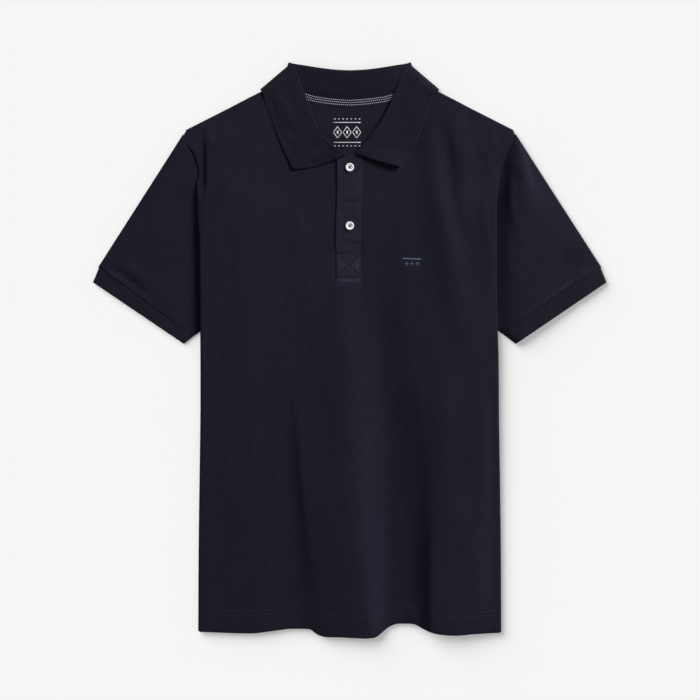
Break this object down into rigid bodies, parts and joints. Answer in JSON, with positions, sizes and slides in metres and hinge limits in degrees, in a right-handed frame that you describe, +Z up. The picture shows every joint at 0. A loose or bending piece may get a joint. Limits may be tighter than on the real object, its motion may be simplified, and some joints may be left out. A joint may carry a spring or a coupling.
{
  "type": "polo shirt",
  "caption": "Men's short-sleeved polo shirt laid flat and face up, with a rib collar and cuffs, a buttoned placket and its sides tucked under.",
  "frame": {"origin": "on the surface it lies on, under the middle of the laid shirt's outline", "axes": "+X to the viewer's right across the laid shirt, +Y from the hem to the collar, +Z up off the surface"},
  "size_m": [0.6742, 0.7534, 0.0129],
  "materials": {
    "pique_knit": "dark navy cotton pique knit, matte",
    "rib_knit": "dark navy cotton rib knit, matte",
    "placket_cloth": "dark navy pique with a fused lining, matte",
    "woven_tape": "navy twill tape with rows of pale dashes",
    "button_resin": "white polyester resin, polished"
  },
  "bodies": {
    "root": {"front": "pique_knit", "back": "pique_knit", "sleeve_left": "pique_knit", "sleeve_right": "pique_knit", "cuff_left": "rib_knit", "cuff_right": "rib_knit", "collar": "rib_knit", "placket_top": "placket_cloth", "placket_under": "placket_cloth", "neck_tape": "woven_tape", "button_1": "button_resin", "button_2": "button_resin"}
  },
  "joints": []
}
